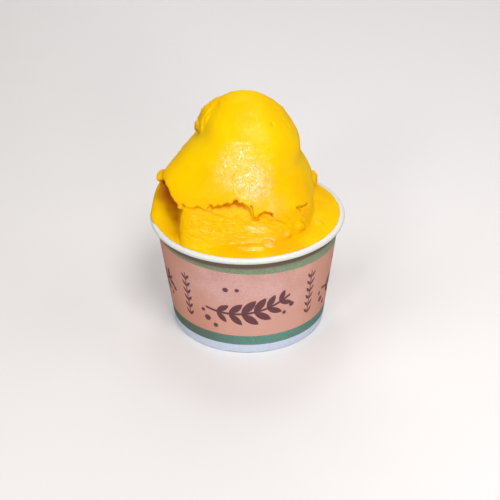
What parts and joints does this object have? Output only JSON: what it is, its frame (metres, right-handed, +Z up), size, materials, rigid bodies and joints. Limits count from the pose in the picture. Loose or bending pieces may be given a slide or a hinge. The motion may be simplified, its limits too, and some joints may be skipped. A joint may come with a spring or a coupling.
{
  "type": "sorbet cup",
  "caption": "Heaped fruit sorbet, spatula-smoothed with a torn lower edge, in a round tapered paper cup with a rolled rim and a recessed base; a single dessert portion.",
  "frame": {"origin": "on the cup's vertical axis, at the level of the surface it stands on, which is the middle of the bounding box's underside", "axes": "+Z up along the cup's axis; -Y faces the viewer of the picture; +X is the picture's right"},
  "size_m": [0.09, 0.0898, 0.1131],
  "materials": {
    "printed_board": "matt printed board: white roll and foot, brown kraft field between two green lines",
    "white_board": "plain white coated board, satin",
    "sorbet": "moist mango yellow with fine sparkling ice grain"
  },
  "bodies": {
    "root": {"cup_wall": "printed_board", "cup_base": "white_board", "sorbet": "sorbet"}
  },
  "joints": []
}
